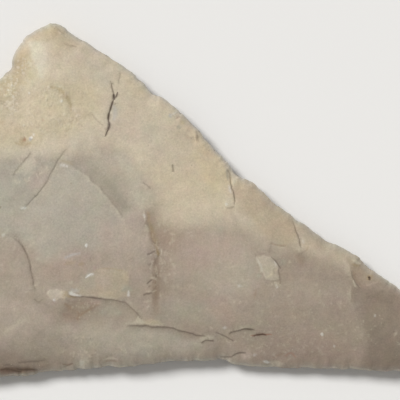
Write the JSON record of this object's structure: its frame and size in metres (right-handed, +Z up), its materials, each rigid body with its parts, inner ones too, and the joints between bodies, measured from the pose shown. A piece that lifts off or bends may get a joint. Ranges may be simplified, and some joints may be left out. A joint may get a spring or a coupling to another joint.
{
  "type": "stone knife blade",
  "caption": "Flaked stone knife blade: long lower cutting edge, oblique back falling to the tip, rounded base, and a short tang between two notches in the corner of base and back.",
  "frame": {"origin": "under the middle of the stone's box, in the plane that its back face rests on", "axes": "+X along the cutting edge towards the tip, +Y from the cutting edge towards the back, +Z up through the front face"},
  "size_m": [0.1322, 0.0712, 0.0087],
  "materials": {
    "chert": "matt flaked chert, tan along the back and greyer and pinker towards the cutting edge"
  },
  "bodies": {
    "root": {"blade": "chert"}
  },
  "joints": []
}
